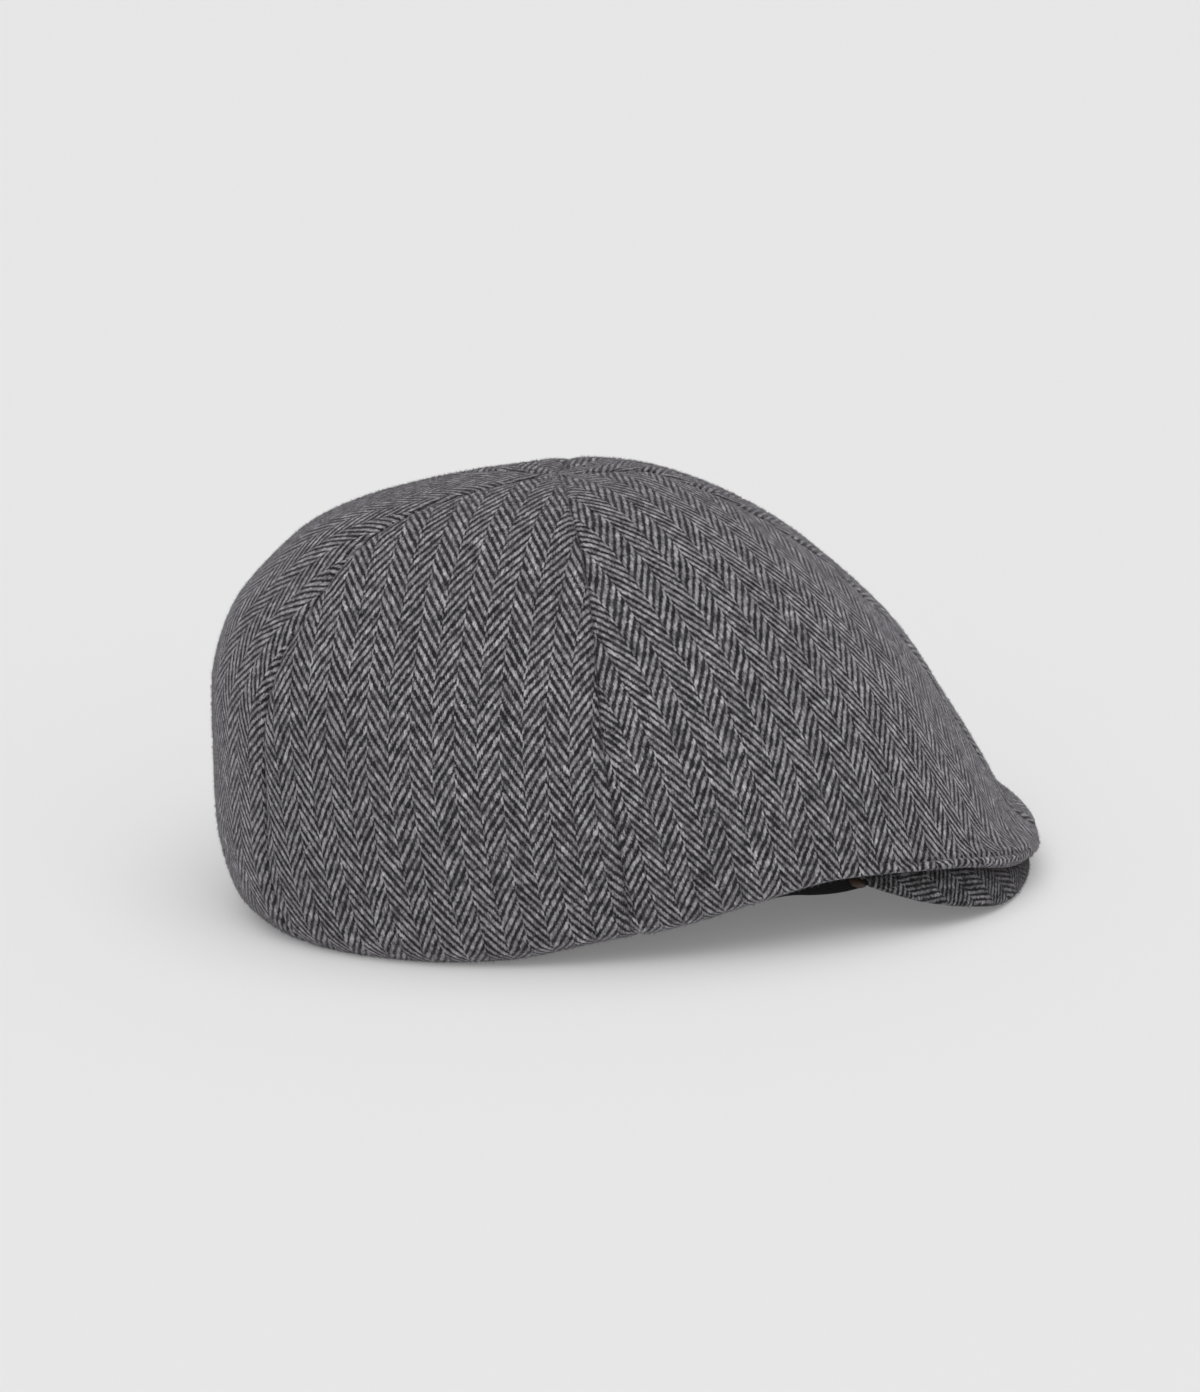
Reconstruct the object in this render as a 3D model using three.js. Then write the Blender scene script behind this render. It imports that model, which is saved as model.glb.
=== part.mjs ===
import * as THREE from "three";
import { mergeVertices } from "three/addons/utils/BufferGeometryUtils.js";

// Duckbill flat cap in herringbone wool, in millimetres, +Z up, the front towards -Y.
// Angles run round the apex in degrees: 0 at the front seam, positive to the wearer's right.

// Outer sizes of the crown, measured from the apex
const apexHeight = 138;
const frontReach = 151;
const rearReach = 117;
const halfWidth = 94;
const archHeight = 22.2;        // how far the rim rises beside the peak's corners

// Cloth
const clothWall = 2;
const seamGap = 0.3;
const seamSink = 1.1;           // how deep the seams lie between the panels
const hemWidth = 2.6;           // the flat underside of the hem at the back
const hemRings = 0.7;           // how far above the rim, in rings, the seams level out
const restAngle = 118;          // behind this angle the rim lies flat on what it rests on
const tipRadius = 0.5;          // where the panel tips end, short of the apex
const tipRings = 2;             // how far below the apex, in rings, the seams reach their depth
const seamSharpness = 5;        // how close to a seam the cloth turns in

// Peak
const peakThickness = 4;
const peakCornerThinning = 0.8; // how much thinner the peak is at its corners
const peakCornerAngle = 60;
const peakInnerReach = 120;     // the inner edge at the centre, from the apex
const peakInnerHeight = 22.5;
const peakCornerWidth = 4;
const peakCornerEase = 0.6;     // how far the inner edge swings forward at its corners, by their width
const peakCornerSharpness = 4;  // how close to the corners the peak thins
const peakBendPlace = 0.55;     // where the peak's top bends, as a share of the way from inner edge to seat
const peakBendDrop = 0.42;      // how far it has come down there
const lipOut = 3.2;             // how far the lip stands out past the crown's tucked edge
const lipHeight = 18.3;         // the lip's height at the peak's corners
const seatGap = 0.4;

// Band and binding
const bandHeight = 28;
const bandThickness = 1.2;
const bandGap = 0.4;
const bandFullness = 2.6;
const bandEase = 1;             // room between the band's front and the binding
const bandDrop = 9.3;           // how far the band hangs below the rim beside the peak
const bandHangStart = 15;       // the angles between which it hangs
const bandHangEnd = 85;
const bandLift = 1;             // how far the band's lower edge stays above what the cap rests on
const bandFrontAngle = 62;      // in front of this angle the band's lower edge is level
const bindingDiameter = 3.2;
const bindingGap = 0.4;
const bindingWrapStep = 4;      // the step of the peak's section that the roll's ends reach, round the corners

// Mesh fineness
const ringSteps = 22;
const ringCrowding = 0.12;      // how much closer together the rings lie towards the rim
const columnAngle = 6.5;
const peakColumns = 26;
const peakSteps = 7;
const bandColumns = 64;
const bindingSides = 8;
const tipRing = 0.02;
const bearingRing = 0.5;        // the ring that the panel tips point along
const normalRingStep = 0.02;    // steps over which the cloth's outward direction is taken
const normalAngleStep = 0.4;
const smallestFace = 1e-6;
const mergeDistance = 1e-4;

// Colours and roughness
const woolFinish = [0x6f6d6f, 0.95];
const peakFinish = [0x6a686a, 0.95];
const bandFinish = [0x1c1b1e, 0.9];
const leatherFinish = [0x4a2c20, 0.6];

// Crown rings from the apex to the rim: each reach and height is a share of its size above,
// widest is the place of the greatest width, as a share of the front reach,
// fullness is the ring's roundness (2 is an ellipse), arch is the share of the rim's arch.
const ringColumns = [
  "front", "frontHigh", "rear", "rearHigh", "side", "sideHigh", "widest", "fullness", "arch",
];
const ringRows = [
  [0.000, 1.000, 0.000, 1.000, 0.000, 1.000, 0.000, 2.00, 0.00],
  [0.160, 0.998, 0.210, 0.992, 0.206, 0.994, 0.016, 2.00, 0.00],
  [0.320, 0.938, 0.455, 0.965, 0.414, 0.955, 0.033, 2.00, 0.00],
  [0.490, 0.819, 0.658, 0.914, 0.623, 0.862, 0.056, 2.00, 0.00],
  [0.630, 0.679, 0.797, 0.829, 0.798, 0.723, 0.068, 2.05, 0.00],
  [0.738, 0.531, 0.923, 0.708, 0.930, 0.572, 0.072, 2.10, 0.00],
  [0.810, 0.392, 0.980, 0.555, 0.993, 0.421, 0.086, 2.15, 0.05],
  [0.876, 0.256, 0.992, 0.400, 1.000, 0.290, 0.099, 2.15, 0.12],
  [0.934, 0.132, 1.000, 0.240, 0.976, 0.162, 0.107, 2.20, 0.33],
  [1.000, 0.045, 0.957, 0.064, 0.930, 0.036, 0.115, 2.30, 0.80],
  [0.966, 0.000, 0.876, 0.000, 0.867, 0.000, 0.132, 2.50, 1.00],
];
const lastRing = ringRows.length - 1;

// Rim arch by angle, as a share of the arch height
const archRows = [
  [0, 0.20], [22, 0.45], [45, 0.85], [64, 1.00], [76, 0.79], [90, 0.38], [106, 0.05], [118, 0.00], [180, 0.00],
];

// Lip of the peak by angle: its height as a share of the lip height, and its reach as a share of lipOut
const lipRows = [
  [0, 0.08, 0.30], [15, 0.05, 0.60], [28, 0.08, 1.10], [38, 0.27, 1.30], [48, 0.55, 1.20], [55, 0.80, 0.80],
  [60, 1.00, 0.40],
];

// Panels by the angles of their seams
const panelRows = [
  { name: "panel_front_right", from: 0, to: 90 },
  { name: "panel_side_right", from: 90, to: 147 },
  { name: "panel_rear", from: 147, to: 213 },
  { name: "panel_side_left", from: 213, to: 270 },
  { name: "panel_front_left", from: 270, to: 360 },
];

// Smooth curve through a table's column, which never overshoots its rows
function curveThrough(places, values) {
  const slopes = places.slice(1).map((place, i) => (values[i + 1] - values[i]) / (place - places[i]));
  const tangents = values.map((value, i) => {
    if (i === 0) return slopes[0];
    if (i === values.length - 1) return slopes[i - 1];
    const before = slopes[i - 1];
    const after = slopes[i];
    return before * after > 0 ? (2 * before * after) / (before + after) : 0;
  });
  return (place) => {
    let i = 0;
    while (i < places.length - 2 && place > places[i + 1]) i += 1;
    const span = places[i + 1] - places[i];
    const t = THREE.MathUtils.clamp((place - places[i]) / span, 0, 1);
    const rise = t * t * (3 - 2 * t);
    const leave = t * (1 - t) * (1 - t) * span;
    const arrive = t * t * (t - 1) * span;
    return values[i] * (1 - rise) + values[i + 1] * rise + tangents[i] * leave + tangents[i + 1] * arrive;
  };
}

const ringPlaces = ringRows.map((row, i) => i);
const ringCurves = Object.fromEntries(
  ringColumns.map((name, column) => [name, curveThrough(ringPlaces, ringRows.map((row) => row[column]))]),
);
const archCurve = curveThrough(archRows.map((row) => row[0]), archRows.map((row) => row[1]));
const lipHighCurve = curveThrough(lipRows.map((row) => row[0]), lipRows.map((row) => row[1]));
const lipOutCurve = curveThrough(lipRows.map((row) => row[0]), lipRows.map((row) => row[2]));

// Angle from the front seam without its side, 0 to 180
function foldAngle(angle) {
  const turned = THREE.MathUtils.euclideanModulo(angle, 360);
  return Math.min(turned, 360 - turned);
}

// Point of an oval, by its front and rear reach, half width, widest place, fullness and height
function ovalPoint(angle, front, rear, side, widest, fullness, height) {
  const cosine = Math.cos(THREE.MathUtils.degToRad(angle));
  const sine = Math.sin(THREE.MathUtils.degToRad(angle));
  const along = Math.sign(cosine) * Math.abs(cosine) ** (2 / fullness);
  const across = Math.sign(sine) * Math.abs(sine) ** (2 / fullness);
  const reach = widest + along * (cosine > 0 ? front - widest : rear + widest);
  return new THREE.Vector3(-side * across, -reach, height);
}

// Smooth crown, before its seams sink
function crownPoint(ring, angle) {
  const row = Object.fromEntries(ringColumns.map((name) => [name, ringCurves[name](ring)]));
  const cosine = Math.cos(THREE.MathUtils.degToRad(angle));
  const endHigh = cosine > 0 ? row.frontHigh : row.rearHigh;
  const share = row.sideHigh + (endHigh - row.sideHigh) * cosine * cosine;
  const height = share * apexHeight + row.arch * archHeight * archCurve(foldAngle(angle));
  const widest = row.widest * frontReach;
  return ovalPoint(
    angle, row.front * frontReach, row.rear * rearReach, row.side * halfWidth, widest, row.fullness, height,
  );
}

// Outward direction of the smooth crown
function crownNormal(ring, angle) {
  const low = Math.max(ring - normalRingStep, tipRing);
  const high = Math.min(ring + normalRingStep, lastRing);
  const down = crownPoint(high, angle).sub(crownPoint(low, angle));
  const round = crownPoint(ring, angle + normalAngleStep).sub(crownPoint(ring, angle - normalAngleStep));
  return down.cross(round).normalize().negate();
}

// Distance round the crown that one degree covers
function degreeLength(ring, angle) {
  const halfDegree = 0.5;
  return crownPoint(ring, angle + halfDegree).distanceTo(crownPoint(ring, angle - halfDegree));
}

// Point on the flat underside of the hem that the cap rests on, by its distance in from the rim
function hemPoint(angle, depth) {
  const rim = crownPoint(lastRing, angle);
  const inward = crownPoint(lastRing - 1, angle).sub(rim).setZ(0).normalize().negate();
  return rim.addScaledVector(inward, depth * hemWidth / clothWall);
}

// Point of a panel, by its depth under the cloth's outer face
function clothPoint(ring, angle, seamShare, depth) {
  const fade = Math.min(1, ring / tipRings, (lastRing - ring) / hemRings);
  const sink = seamSink * Math.abs(2 * seamShare - 1) ** seamSharpness * fade;
  const point = crownPoint(ring, angle).addScaledVector(crownNormal(ring, angle), -sink - depth);
  return ring === lastRing && foldAngle(angle) > restAngle ? hemPoint(angle, depth) : point;
}

// Closed body between two grids of points, its rows and columns walled at their ends
function bodyBetween(outer, inner) {
  const points = [];
  const faces = [];
  const rows = outer.length;
  const columns = outer[0].length;
  [outer, inner].forEach((grid) => grid.forEach((row) => row.forEach((point) => points.push(point))));
  const at = (side, row, column) => (side * rows + row) * columns + column;
  const quad = (a, b, c, d) => faces.push([a, b, c], [a, c, d]);
  for (let row = 0; row < rows - 1; row += 1) {
    for (let column = 0; column < columns - 1; column += 1) {
      quad(at(0, row, column), at(0, row + 1, column), at(0, row + 1, column + 1), at(0, row, column + 1));
      quad(at(1, row, column), at(1, row, column + 1), at(1, row + 1, column + 1), at(1, row + 1, column));
    }
    const last = columns - 1;
    quad(at(0, row, 0), at(1, row, 0), at(1, row + 1, 0), at(0, row + 1, 0));
    quad(at(0, row, last), at(0, row + 1, last), at(1, row + 1, last), at(1, row, last));
  }
  for (let column = 0; column < columns - 1; column += 1) {
    const last = rows - 1;
    quad(at(0, 0, column), at(0, 0, column + 1), at(1, 0, column + 1), at(1, 0, column));
    quad(at(0, last, column), at(1, last, column), at(1, last, column + 1), at(0, last, column + 1));
  }
  return closedGeometry(points, faces);
}

// Closed body through rings of points that each run round a section, its two ends capped
function bodyThrough(sections, closedLoop) {
  const count = sections[0].length;
  const points = sections.flat();
  const faces = [];
  const spans = closedLoop ? sections.length : sections.length - 1;
  for (let i = 0; i < spans; i += 1) {
    const next = (i + 1) % sections.length;
    for (let j = 0; j < count; j += 1) {
      const beside = (j + 1) % count;
      const corners = [i * count + j, i * count + beside, next * count + beside, next * count + j];
      faces.push([corners[0], corners[1], corners[2]], [corners[0], corners[2], corners[3]]);
    }
  }
  if (!closedLoop) {
    const end = (sections.length - 1) * count;
    for (let j = 0; j < count / 2 - 1; j += 1) {
      const across = count - 1 - j;
      faces.push([j, across, j + 1], [across, across - 1, j + 1]);
      faces.push([end + j, end + j + 1, end + across], [end + across, end + j + 1, end + across - 1]);
    }
  }
  return closedGeometry(points, faces);
}

// Merged geometry without empty faces, turned so that its faces point out
function closedGeometry(points, faces) {
  const kept = faces.filter(([a, b, c]) => {
    const ab = points[b].clone().sub(points[a]);
    const ac = points[c].clone().sub(points[a]);
    return ab.cross(ac).length() > smallestFace;
  });
  const volume = kept.reduce((sum, [a, b, c]) => {
    return sum + points[a].dot(points[b].clone().cross(points[c]));
  }, 0);
  const outward = volume > 0 ? kept : kept.map(([a, b, c]) => [a, c, b]);
  const geometry = new THREE.BufferGeometry();
  geometry.setAttribute("position", new THREE.Float32BufferAttribute(points.flatMap((p) => p.toArray()), 3));
  geometry.setIndex(outward.flat());
  const merged = mergeVertices(geometry, mergeDistance);
  merged.computeVertexNormals();
  return merged;
}

function namedMesh(name, geometry, [color, roughness]) {
  const material = new THREE.MeshStandardMaterial({ color, roughness, metalness: 0 });
  const mesh = new THREE.Mesh(geometry, material);
  mesh.name = name;
  return mesh;
}

// Ring numbers of a panel's rows, closer together towards the rim
function panelRings() {
  const rings = [];
  for (let i = 0; i <= ringSteps; i += 1) {
    const share = i / ringSteps;
    rings.push(lastRing * (share + ringCrowding * Math.sin(Math.PI * share)));
  }
  return rings;
}

// One panel of the crown, from its tip by the apex to the rim, between two seams
function crownPanel({ name, from, to }) {
  const columns = Math.round((to - from) / columnAngle);
  const middle = (from + to) / 2;
  const grid = (depth) => panelRings().map((ring, row) => {
    if (row === 0) {
      const tip = clothPoint(tipRing, middle, 0.5, depth);
      const bearing = crownPoint(bearingRing, middle).setZ(0).setLength(tipRadius);
      return Array(columns + 1).fill(new THREE.Vector3(bearing.x, bearing.y, tip.z));
    }
    return Array.from({ length: columns + 1 }, (unused, column) => {
      const share = column / columns;
      const start = from + seamGap / 2 / degreeLength(ring, from);
      const end = to - seamGap / 2 / degreeLength(ring, to);
      return clothPoint(ring, start + (end - start) * share, share, depth);
    });
  });
  return namedMesh(name, bodyBetween(grid(0), grid(clothWall)), woolFinish);
}

// Top line of the peak at one angle, from its inner edge, under the crown's edge, to the lip
function peakTopLine(angle) {
  const fold = Math.abs(angle);
  const edge = crownPoint(lastRing, angle);
  const corner = crownPoint(lastRing, peakCornerAngle);
  const depth = (edge.y - corner.y) / (-frontReach * ringRows[lastRing][0] - corner.y);
  const inner = new THREE.Vector3(
    edge.x * (1 - peakCornerWidth / Math.abs(corner.x)),
    corner.y + depth * (-peakInnerReach - corner.y) + peakCornerWidth * (1 - depth) * peakCornerEase,
    THREE.MathUtils.lerp(corner.z - seatGap, peakInnerHeight, Math.sqrt(Math.max(depth, 0))),
  );
  const seat = edge.clone().setZ(edge.z - seatGap);
  const outward = crownPoint(lastRing - 1, angle).sub(edge).setZ(0).normalize();
  const lip = edge.clone().addScaledVector(outward, lipOut * lipOutCurve(fold));
  lip.z = lipHeight * lipHighCurve(fold);
  const bend = inner.clone().lerp(seat, peakBendPlace);
  bend.z = THREE.MathUtils.lerp(inner.z, seat.z, peakBendDrop);
  return new THREE.CatmullRomCurve3([inner, bend, seat, lip], false, "centripetal");
}

// Angles of the peak's sections, from the left corner to the right
function peakAngles() {
  return Array.from({ length: peakColumns + 1 }, (unused, i) => peakCornerAngle * (2 * i / peakColumns - 1));
}

// Section of the stiff peak at one angle: the points of its top and of its underside, inner edge first
function peakSection(angle) {
  const line = peakTopLine(angle);
  const top = Array.from({ length: peakSteps + 1 }, (unused, j) => line.getPoint(j / peakSteps));
  const inward = top[0].clone().sub(top[peakSteps]).setZ(0).normalize();
  const cornerShare = Math.abs(angle) / peakCornerAngle;
  const thickness = peakThickness - peakCornerThinning * cornerShare ** peakCornerSharpness;
  const under = top.map((point, j) => {
    const along = top[Math.min(j + 1, peakSteps)].clone().sub(top[Math.max(j - 1, 0)]);
    const down = new THREE.Vector3(0, 0, along.dot(inward)).addScaledVector(inward, -along.z).normalize();
    return point.clone().addScaledVector(down, thickness);
  });
  return { top, under };
}

// Stiff peak, closed sections from corner to corner
function peak() {
  const sections = peakAngles().map((angle) => {
    const { top, under } = peakSection(angle);
    return [...top, ...under.reverse()];
  });
  return namedMesh("peak", bodyThrough(sections, false), peakFinish);
}

// Reach of the sweatband's inner face at the front, behind the binding
function bandFrontReach() {
  const { top, under } = peakSection(0);
  const innerEdge = -top[0].clone().lerp(under[0], 0.5).y;
  return innerEdge - bindingGap - bindingDiameter - bandGap - bandThickness - bandEase;
}

// Lower edge of the sweatband at one angle
function bandPoint(angle, outset, up) {
  const fold = foldAngle(angle);
  const rim = ringRows[lastRing];
  const inset = clothWall + bandGap + seamSink + bandThickness - outset;
  const point = ovalPoint(
    angle,
    bandFrontReach() + outset,
    rim[2] * rearReach - inset,
    rim[4] * halfWidth - inset,
    rim[6] * frontReach,
    bandFullness,
    0,
  );
  const arch = archHeight * archCurve(Math.max(fold, bandFrontAngle));
  const hangShare = THREE.MathUtils.clamp((fold - bandHangStart) / (bandHangEnd - bandHangStart), 0, 1);
  point.z = arch - bandDrop * Math.sin(Math.PI * hangShare) + bandLift + up;
  return point;
}

// Sweatband inside the rim, a closed ring
function sweatband() {
  const sections = Array.from({ length: bandColumns }, (unused, i) => {
    const angle = 360 * i / bandColumns;
    const rise = [0, bandHeight / 2, bandHeight];
    return [
      ...rise.map((up) => bandPoint(angle, bandThickness, up)),
      ...rise.reverse().map((up) => bandPoint(angle, 0, up)),
    ];
  });
  return namedMesh("sweatband", bodyThrough(sections, true), bandFinish);
}

// Middle of the peak's thickness at one step of a section
function peakMiddle({ top, under }, step) {
  return top[step].clone().lerp(under[step], 0.5);
}

// Round one corner of the peak: where the roll turns, and where it ends
function bindingCorner(angle) {
  const section = peakSection(angle);
  const inner = peakMiddle(section, 0);
  const end = peakMiddle(section, bindingWrapStep);
  const inward = inner.clone().sub(end).setZ(0).normalize();
  const rearward = new THREE.Vector3(-inward.y, inward.x, 0).multiplyScalar(Math.sign(inward.x));
  const clear = bindingDiameter / 2 + bindingGap;
  return [
    inner.addScaledVector(inward, clear).addScaledVector(rearward, clear),
    end.addScaledVector(rearward, clear),
  ];
}

// Leather roll that binds the peak's inner edge and turns round its corners
function peakBinding() {
  const radius = bindingDiameter / 2;
  const alongEdge = peakAngles().slice(1, -1).map((angle) => {
    const section = peakSection(angle);
    const inward = section.top[0].clone().sub(section.top[1]).normalize();
    return peakMiddle(section, 0).addScaledVector(inward, radius + bindingGap);
  });
  const centres = [
    ...bindingCorner(-peakCornerAngle).reverse(), ...alongEdge, ...bindingCorner(peakCornerAngle),
  ];
  const sections = centres.map((centre, i) => {
    const along = centres[Math.min(i + 1, centres.length - 1)].clone()
      .sub(centres[Math.max(i - 1, 0)]).normalize();
    const aside = along.clone().cross(new THREE.Vector3(0, 0, 1)).normalize();
    const above = aside.clone().cross(along);
    return Array.from({ length: bindingSides }, (unused, j) => {
      const turn = 2 * Math.PI * j / bindingSides;
      return centre.clone()
        .addScaledVector(aside, radius * Math.cos(turn))
        .addScaledVector(above, radius * Math.sin(turn));
    });
  });
  return namedMesh("peak_binding", bodyThrough(sections, false), leatherFinish);
}

// The cap, moved so that its box stands on the origin
const cap = new THREE.Group();
panelRows.forEach((panel) => cap.add(crownPanel(panel)));
cap.add(peak(), sweatband(), peakBinding());
const box = new THREE.Box3().setFromObject(cap, true);
cap.position.set(0, -(box.min.y + box.max.y) / 2, -box.min.z);
cap.updateMatrixWorld(true);

export default cap;
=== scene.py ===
import math

import bpy
import numpy as np
from mathutils import Matrix, Vector, noise


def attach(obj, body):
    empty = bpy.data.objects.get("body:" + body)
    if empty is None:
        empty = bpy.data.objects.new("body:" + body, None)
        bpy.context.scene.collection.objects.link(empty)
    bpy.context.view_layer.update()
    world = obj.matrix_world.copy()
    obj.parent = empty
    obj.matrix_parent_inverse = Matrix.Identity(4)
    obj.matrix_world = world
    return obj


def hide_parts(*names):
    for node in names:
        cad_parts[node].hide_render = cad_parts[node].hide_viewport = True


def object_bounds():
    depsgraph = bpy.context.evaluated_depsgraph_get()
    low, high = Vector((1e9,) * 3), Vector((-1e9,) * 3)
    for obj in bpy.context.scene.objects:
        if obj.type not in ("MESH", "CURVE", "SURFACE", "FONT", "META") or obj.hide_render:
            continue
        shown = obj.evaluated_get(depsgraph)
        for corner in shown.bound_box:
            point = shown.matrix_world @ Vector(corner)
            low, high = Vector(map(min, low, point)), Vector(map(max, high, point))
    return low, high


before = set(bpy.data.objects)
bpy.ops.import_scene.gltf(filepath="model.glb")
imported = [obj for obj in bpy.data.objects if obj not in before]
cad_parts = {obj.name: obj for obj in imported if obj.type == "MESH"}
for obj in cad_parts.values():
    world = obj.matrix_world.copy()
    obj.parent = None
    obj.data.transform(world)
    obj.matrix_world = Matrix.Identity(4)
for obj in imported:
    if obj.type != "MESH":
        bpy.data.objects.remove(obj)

cadLow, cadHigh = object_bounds()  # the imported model's box, before anything is dressed
millimetre = 0.001
rng = np.random.default_rng(41)
print("frame loaded,", len(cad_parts), "nodes")


# Smooth curve through values; with level it never overshoots them.
def curveThrough(places, values, level=True):
    places = np.asarray(places, float)
    values = np.asarray(values, float)
    spans = np.diff(places)
    slopes = (np.diff(values, axis=0).T / spans).T
    before = slopes[:-1]
    after = slopes[1:]
    middle = (before + after) / 2
    if level:
        rising = before * after > 0
        middle = np.where(rising, 2 * before * after / np.where(rising, before + after, 1), 0.0)
    tangents = np.concatenate([slopes[:1], middle, slopes[-1:]])
    wide = (1,) * (values.ndim - 1)

    def curve(place):
        place = np.clip(np.asarray(place, float), places[0], places[-1])
        i = np.clip(np.searchsorted(places, place, side="right") - 1, 0, len(spans) - 1)
        span = spans[i].reshape(i.shape + wide)
        t = ((place - places[i]) / spans[i]).reshape(i.shape + wide)
        rise = t * t * (3 - 2 * t)
        bend = tangents[i] * t * (1 - t) ** 2 + tangents[i + 1] * t * t * (t - 1)
        return values[i] * (1 - rise) + values[i + 1] * rise + bend * span

    return curve


# Distance run along one axis of a grid of points, starting from zero.
def distanceAlong(points, axis=0):
    steps = np.linalg.norm(np.diff(points, axis=axis), axis=-1)
    return np.insert(np.cumsum(steps, axis), 0, 0.0, axis=axis)


# Places along each width, closer together at both ends.
def clusteredPlaces(widths, edges, count):
    edges = np.asarray(edges)
    scale = np.minimum(1, widths / 2 / (2 * edges[-1]))[:, None]
    near = edges[None, :] * scale
    inner = near[:, -1:] + np.linspace(0, 1, count + 2)[None, 1:-1] * (widths[:, None] - 2 * near[:, -1:])
    return np.concatenate([near, inner, widths[:, None] - near[:, ::-1]], 1)


# How far a face turns in near its edge, on a quarter circle of that width and depth.
def roundIn(distance, width, depth):
    t = np.clip(1 - distance / width, 0, 1)
    return depth * (1 - np.sqrt(np.maximum(1 - t * t, 0)))


# Angle from the front, the same to both sides.
def foldAngle(angle):
    turned = np.mod(angle, 360.0)
    return np.minimum(turned, 360.0 - turned)


def unit(vectors):
    return vectors / np.linalg.norm(vectors, axis=-1, keepdims=True)


# Keeps points from reaching below the floor.
def restOnFloor(points):
    points[..., 2] = np.maximum(points[..., 2], 0)


# Two grids joined into one closed body: outer face, inner face and the four walls between.
def closedGrid(outer, inner):
    rows, columns, _ = outer.shape
    face = np.arange(rows * columns).reshape(rows, columns)
    back = face + rows * columns
    quads = [
        np.stack([face[:-1, :-1], face[1:, :-1], face[1:, 1:], face[:-1, 1:]], -1).reshape(-1, 4),
        np.stack([back[:-1, :-1], back[:-1, 1:], back[1:, 1:], back[1:, :-1]], -1).reshape(-1, 4),
        np.stack([face[:-1, 0], back[:-1, 0], back[1:, 0], face[1:, 0]], -1),
        np.stack([face[:-1, -1], face[1:, -1], back[1:, -1], back[:-1, -1]], -1),
        np.stack([face[0, :-1], face[0, 1:], back[0, 1:], back[0, :-1]], -1),
        np.stack([face[-1, :-1], back[-1, :-1], back[-1, 1:], face[-1, 1:]], -1),
    ]
    return np.concatenate([outer.reshape(-1, 3), inner.reshape(-1, 3)]), np.concatenate(quads)


# Weave is each point's place on the flat cloth in millimetres, shade how dark or light it is there: painted
# shade and light on the wool, each hair's own tone on the nap.
def addPiece(name, points, faces, material, weave=None, shade=None):
    mesh = bpy.data.meshes.new(name)
    mesh.from_pydata(points.tolist(), [], faces if isinstance(faces, list) else faces.tolist())
    if weave is not None:
        places = np.concatenate([weave, np.zeros((len(weave), 1))], 1).astype(np.float32)
        mesh.attributes.new("weave", "FLOAT_VECTOR", "POINT").data.foreach_set("vector", places.ravel())
    if shade is not None:
        mesh.attributes.new("shade", "FLOAT", "POINT").data.foreach_set("value", shade.astype(np.float32))
    mesh.shade_smooth()
    mesh.materials.append(material)
    piece = bpy.data.objects.new(name, mesh)
    bpy.context.scene.collection.objects.link(piece)
    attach(piece, "root")
    return piece


# Node helpers: nearly every call adds one node and returns its socket.
class Finish:
    def __init__(self, name):
        self.material = bpy.data.materials.new(name)
        self.material.use_nodes = True
        self.tree = self.material.node_tree
        self.shader = self.tree.nodes["Principled BSDF"]

    def node(self, kind, inputs=None, output=0, **settings):
        made = self.tree.nodes.new(kind)
        for key, value in settings.items():
            setattr(made, key, value)
        for key, value in (inputs or {}).items():
            if isinstance(value, bpy.types.NodeSocket):
                self.tree.links.new(value, made.inputs[key])
            else:
                made.inputs[key].default_value = value
        return made.outputs[output]

    def place(self):
        return self.node("ShaderNodeTexCoord", output=3)

    def shade(self):
        return self.node("ShaderNodeAttribute", output=2, attribute_name="shade")

    def weave(self):
        stored = self.node("ShaderNodeAttribute", output=1, attribute_name="weave")
        parts = self.tree.nodes.new("ShaderNodeSeparateXYZ")
        self.tree.links.new(stored, parts.inputs[0])
        return parts.outputs[0], parts.outputs[1]

    def calc(self, operation, a, b=0.0, c=0.0):
        return self.node("ShaderNodeMath", {0: a, 1: b, 2: c}, operation=operation)

    # A noise made to swing round zero
    def swing(self, value, amount):
        return self.calc("MULTIPLY_ADD", value, amount, -amount / 2)

    def soft(self, value, low, high):
        inputs = {"Value": value, "From Min": low, "From Max": high}
        return self.node("ShaderNodeMapRange", inputs, interpolation_type="SMOOTHSTEP")

    def mix(self, share, a, b):
        return self.node("ShaderNodeMix", {0: share, 6: a, 7: b}, output=2, data_type="RGBA")

    # Lays a fleck's colour over another, where a noise passes the fleck's edge
    def fleck(self, value, colour, kind):
        share = self.calc("MULTIPLY", self.soft(value, *kind["edge"]), kind["share"])
        return self.mix(share, colour, kind["colour"])

    def noise(self, place, scale, detail=2.0, rough=0.5):
        inputs = {"Vector": place, "Scale": scale, "Detail": detail, "Roughness": rough}
        return self.node("ShaderNodeTexNoise", inputs)

    def join(self, x, y, z=0.0):
        return self.node("ShaderNodeCombineXYZ", {0: x, 1: y, 2: z})

    # A place on the cloth, drawn out by its fineness across and along; layers keep noises apart
    def drawOut(self, across, along, fineness, layer=0.0):
        x = self.calc("MULTIPLY", across, fineness[0])
        y = self.calc("MULTIPLY", along, fineness[1])
        return self.join(x, y, layer)

    def bump(self, height, distance, strength=1.0):
        return self.node("ShaderNodeBump", {"Height": height, "Distance": distance, "Strength": strength})

    def put(self, **values):
        for key, value in values.items():
            socket = self.shader.inputs[key.replace("_", " ")]
            if isinstance(value, bpy.types.NodeSocket):
                self.tree.links.new(value, socket)
            else:
                socket.default_value = value


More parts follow.
